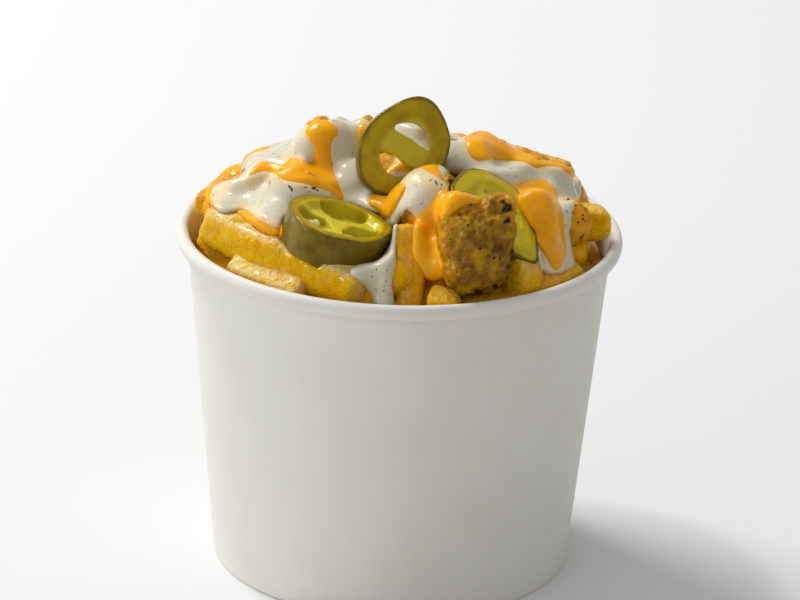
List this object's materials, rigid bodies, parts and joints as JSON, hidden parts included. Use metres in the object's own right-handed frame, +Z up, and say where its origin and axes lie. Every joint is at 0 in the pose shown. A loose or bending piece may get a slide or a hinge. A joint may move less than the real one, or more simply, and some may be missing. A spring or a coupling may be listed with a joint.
{
  "type": "prepared food",
  "caption": "Round paper tub heaped with fries, grilled chicken pieces and jalapeno slices under white garlic sauce and cheese sauce.",
  "frame": {"origin": "centre of the tub's foot, on the surface that it stands on", "axes": "+Z up along the tub's axis, -Y towards the side with the thick jalapeno slice and the largest chicken piece, +X to the right seen from there"},
  "size_m": [0.1168, 0.1168, 0.1302],
  "materials": {
    "paper": "matt white coated board with a rolled rim",
    "fries": "fried potato, rough golden crust",
    "chicken": "grilled chicken, moist and peppered",
    "jalapeno": "pickled pepper, wet and glossy",
    "white_sauce": "thick glossy sauce",
    "cheese_sauce": "thick glossy sauce"
  },
  "bodies": {
    "root": {"cheese_sauce_back": "cheese_sauce", "cheese_sauce_back_right": "cheese_sauce", "cheese_sauce_chicken_top": "cheese_sauce", "cheese_sauce_left": "cheese_sauce", "cheese_sauce_middle": "cheese_sauce", "cheese_sauce_right": "cheese_sauce", "cheese_sauce_right_top": "cheese_sauce", "cheese_sauce_tongue": "cheese_sauce", "chicken_1": "chicken", "chicken_10": "chicken", "chicken_11": "chicken", "chicken_2": "chicken", "chicken_3": "chicken", "chicken_4": "chicken", "chicken_5": "chicken", "chicken_6": "chicken", "chicken_7": "chicken", "chicken_8": "chicken", "chicken_9": "chicken", "fries": "fries", "jalapeno_1": "jalapeno", "jalapeno_2": "jalapeno", "jalapeno_3": "jalapeno", "jalapeno_4": "jalapeno", "jalapeno_5": "jalapeno", "tub_base": "paper", "tub_wall": "paper", "white_sauce_back": "white_sauce", "white_sauce_back_left": "white_sauce", "white_sauce_back_right": "white_sauce", "white_sauce_centre": "white_sauce", "white_sauce_left": "white_sauce", "white_sauce_right": "white_sauce", "white_sauce_upper": "white_sauce"}
  },
  "joints": []
}
